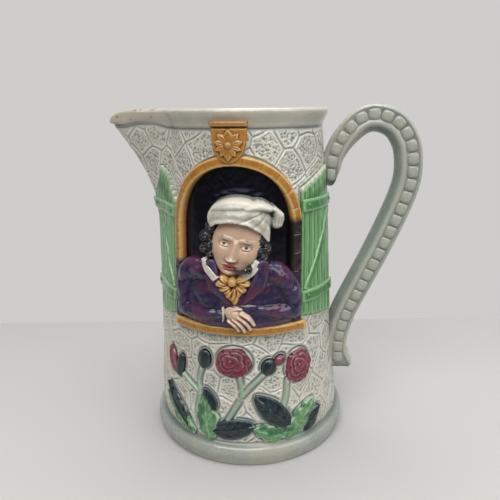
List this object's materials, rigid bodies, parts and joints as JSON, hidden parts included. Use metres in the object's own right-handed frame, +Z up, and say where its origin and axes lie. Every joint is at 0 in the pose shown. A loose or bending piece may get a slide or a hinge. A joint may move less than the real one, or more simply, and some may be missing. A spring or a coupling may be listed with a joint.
{
  "type": "majolica jug",
  "caption": "Tall tapered hollow jug with pouring spout, beaded strap handle, foot ring and moulded relief of a window, shutters, figure and roses.",
  "frame": {"origin": "on the surface the jug stands on, under the middle of its bounding box: half way between the spout's nose and the handle's back", "axes": "+Z up along the jug's axis, +X towards the handle, -X towards the spout, -Y towards the panel with the figure"},
  "size_m": [0.2332, 0.154, 0.2518],
  "materials": {
    "glazed_earthenware": "glossy lead-type glaze: pale grey-green ground with ochre, green, aubergine, crimson and navy colours"
  },
  "bodies": {
    "root": {"jug": "glazed_earthenware"}
  },
  "joints": []
}
